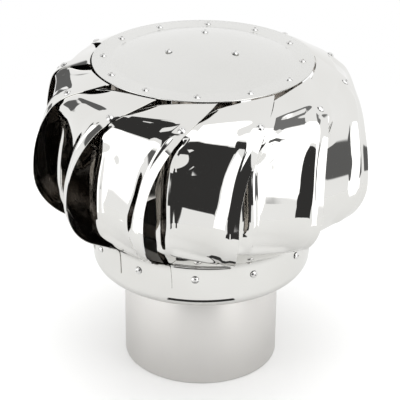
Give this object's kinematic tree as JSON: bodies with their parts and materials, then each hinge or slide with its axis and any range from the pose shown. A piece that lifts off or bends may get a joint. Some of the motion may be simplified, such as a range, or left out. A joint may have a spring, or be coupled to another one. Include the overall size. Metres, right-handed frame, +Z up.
{
  "type": "chimney cap",
  "caption": "Wind-driven rotating chimney cap: overlapping pressed blades between a domed disc and a lower pan turn on ball bearings above a round flue pipe.",
  "frame": {"origin": "centre of the base pipe's open lower end, at the height of that end", "axes": "+Z up along the pipe and the shaft; -Y towards the viewer of the picture, +X to the viewer's right"},
  "size_m": [0.3156, 0.3156, 0.3213],
  "materials": {
    "polished_sheet": "mirror-polished stainless steel sheet",
    "satin_sheet": "satin stainless steel sheet",
    "rivet_steel": "bright domed blind rivets",
    "bracket_steel": "pressed stainless steel strip",
    "housing_metal": "turned aluminium",
    "bearing_steel": "ground bearing steel",
    "turned_steel": "turned and zinc-plated steel"
  },
  "bodies": {
    "base": {"base_pipe": "satin_sheet", "support_spider": "bracket_steel", "support_rivets": "rivet_steel", "bearing_housing": "housing_metal", "bearing_cover": "bracket_steel", "housing_screws": "turned_steel", "housing_nuts": "turned_steel", "grease_cap": "bracket_steel", "lower_bearing_outer_ring": "bearing_steel", "upper_bearing_outer_ring": "bearing_steel"},
    "rotor": {"lower_bearing_inner_ring": "bearing_steel", "upper_bearing_inner_ring": "bearing_steel", "shaft": "turned_steel", "bearing_spacer": "turned_steel", "shaft_washer": "turned_steel", "shaft_locknut": "turned_steel", "top_hub": "bracket_steel", "hub_pin": "turned_steel", "hub_rivets": "rivet_steel", "top_disc": "polished_sheet", "rim_rivets": "rivet_steel", "lower_pan": "polished_sheet", "ring_rivets": "rivet_steel", "blade_01": "polished_sheet", "blade_02": "polished_sheet", "blade_03": "polished_sheet", "blade_04": "polished_sheet", "blade_05": "polished_sheet", "blade_06": "polished_sheet", "blade_07": "polished_sheet", "blade_08": "polished_sheet", "blade_09": "polished_sheet", "blade_10": "polished_sheet", "blade_11": "polished_sheet", "blade_12": "polished_sheet", "blade_rivets": "rivet_steel"},
    "lower_balls": {"lower_bearing_balls": "bearing_steel"},
    "upper_balls": {"upper_bearing_balls": "bearing_steel"}
  },
  "joints": [
    {"name": "rotor_spin", "type": "hinge", "parent": "base", "child": "rotor", "pos_m": [0, 0, 0.0925], "axis": [0, 0, 1], "continuous": true},
    {"name": "lower_balls_orbit", "type": "hinge", "parent": "base", "child": "lower_balls", "pos_m": [0, 0, 0.0755], "axis": [0, 0, 1], "continuous": true},
    {"name": "upper_balls_orbit", "type": "hinge", "parent": "base", "child": "upper_balls", "pos_m": [0, 0, 0.1095], "axis": [0, 0, 1], "continuous": true}
  ],
  "couplings": [
    {"joint": "lower_balls_orbit", "follows": "rotor_spin", "ratio": 0.3636},
    {"joint": "upper_balls_orbit", "follows": "rotor_spin", "ratio": 0.3636}
  ]
}
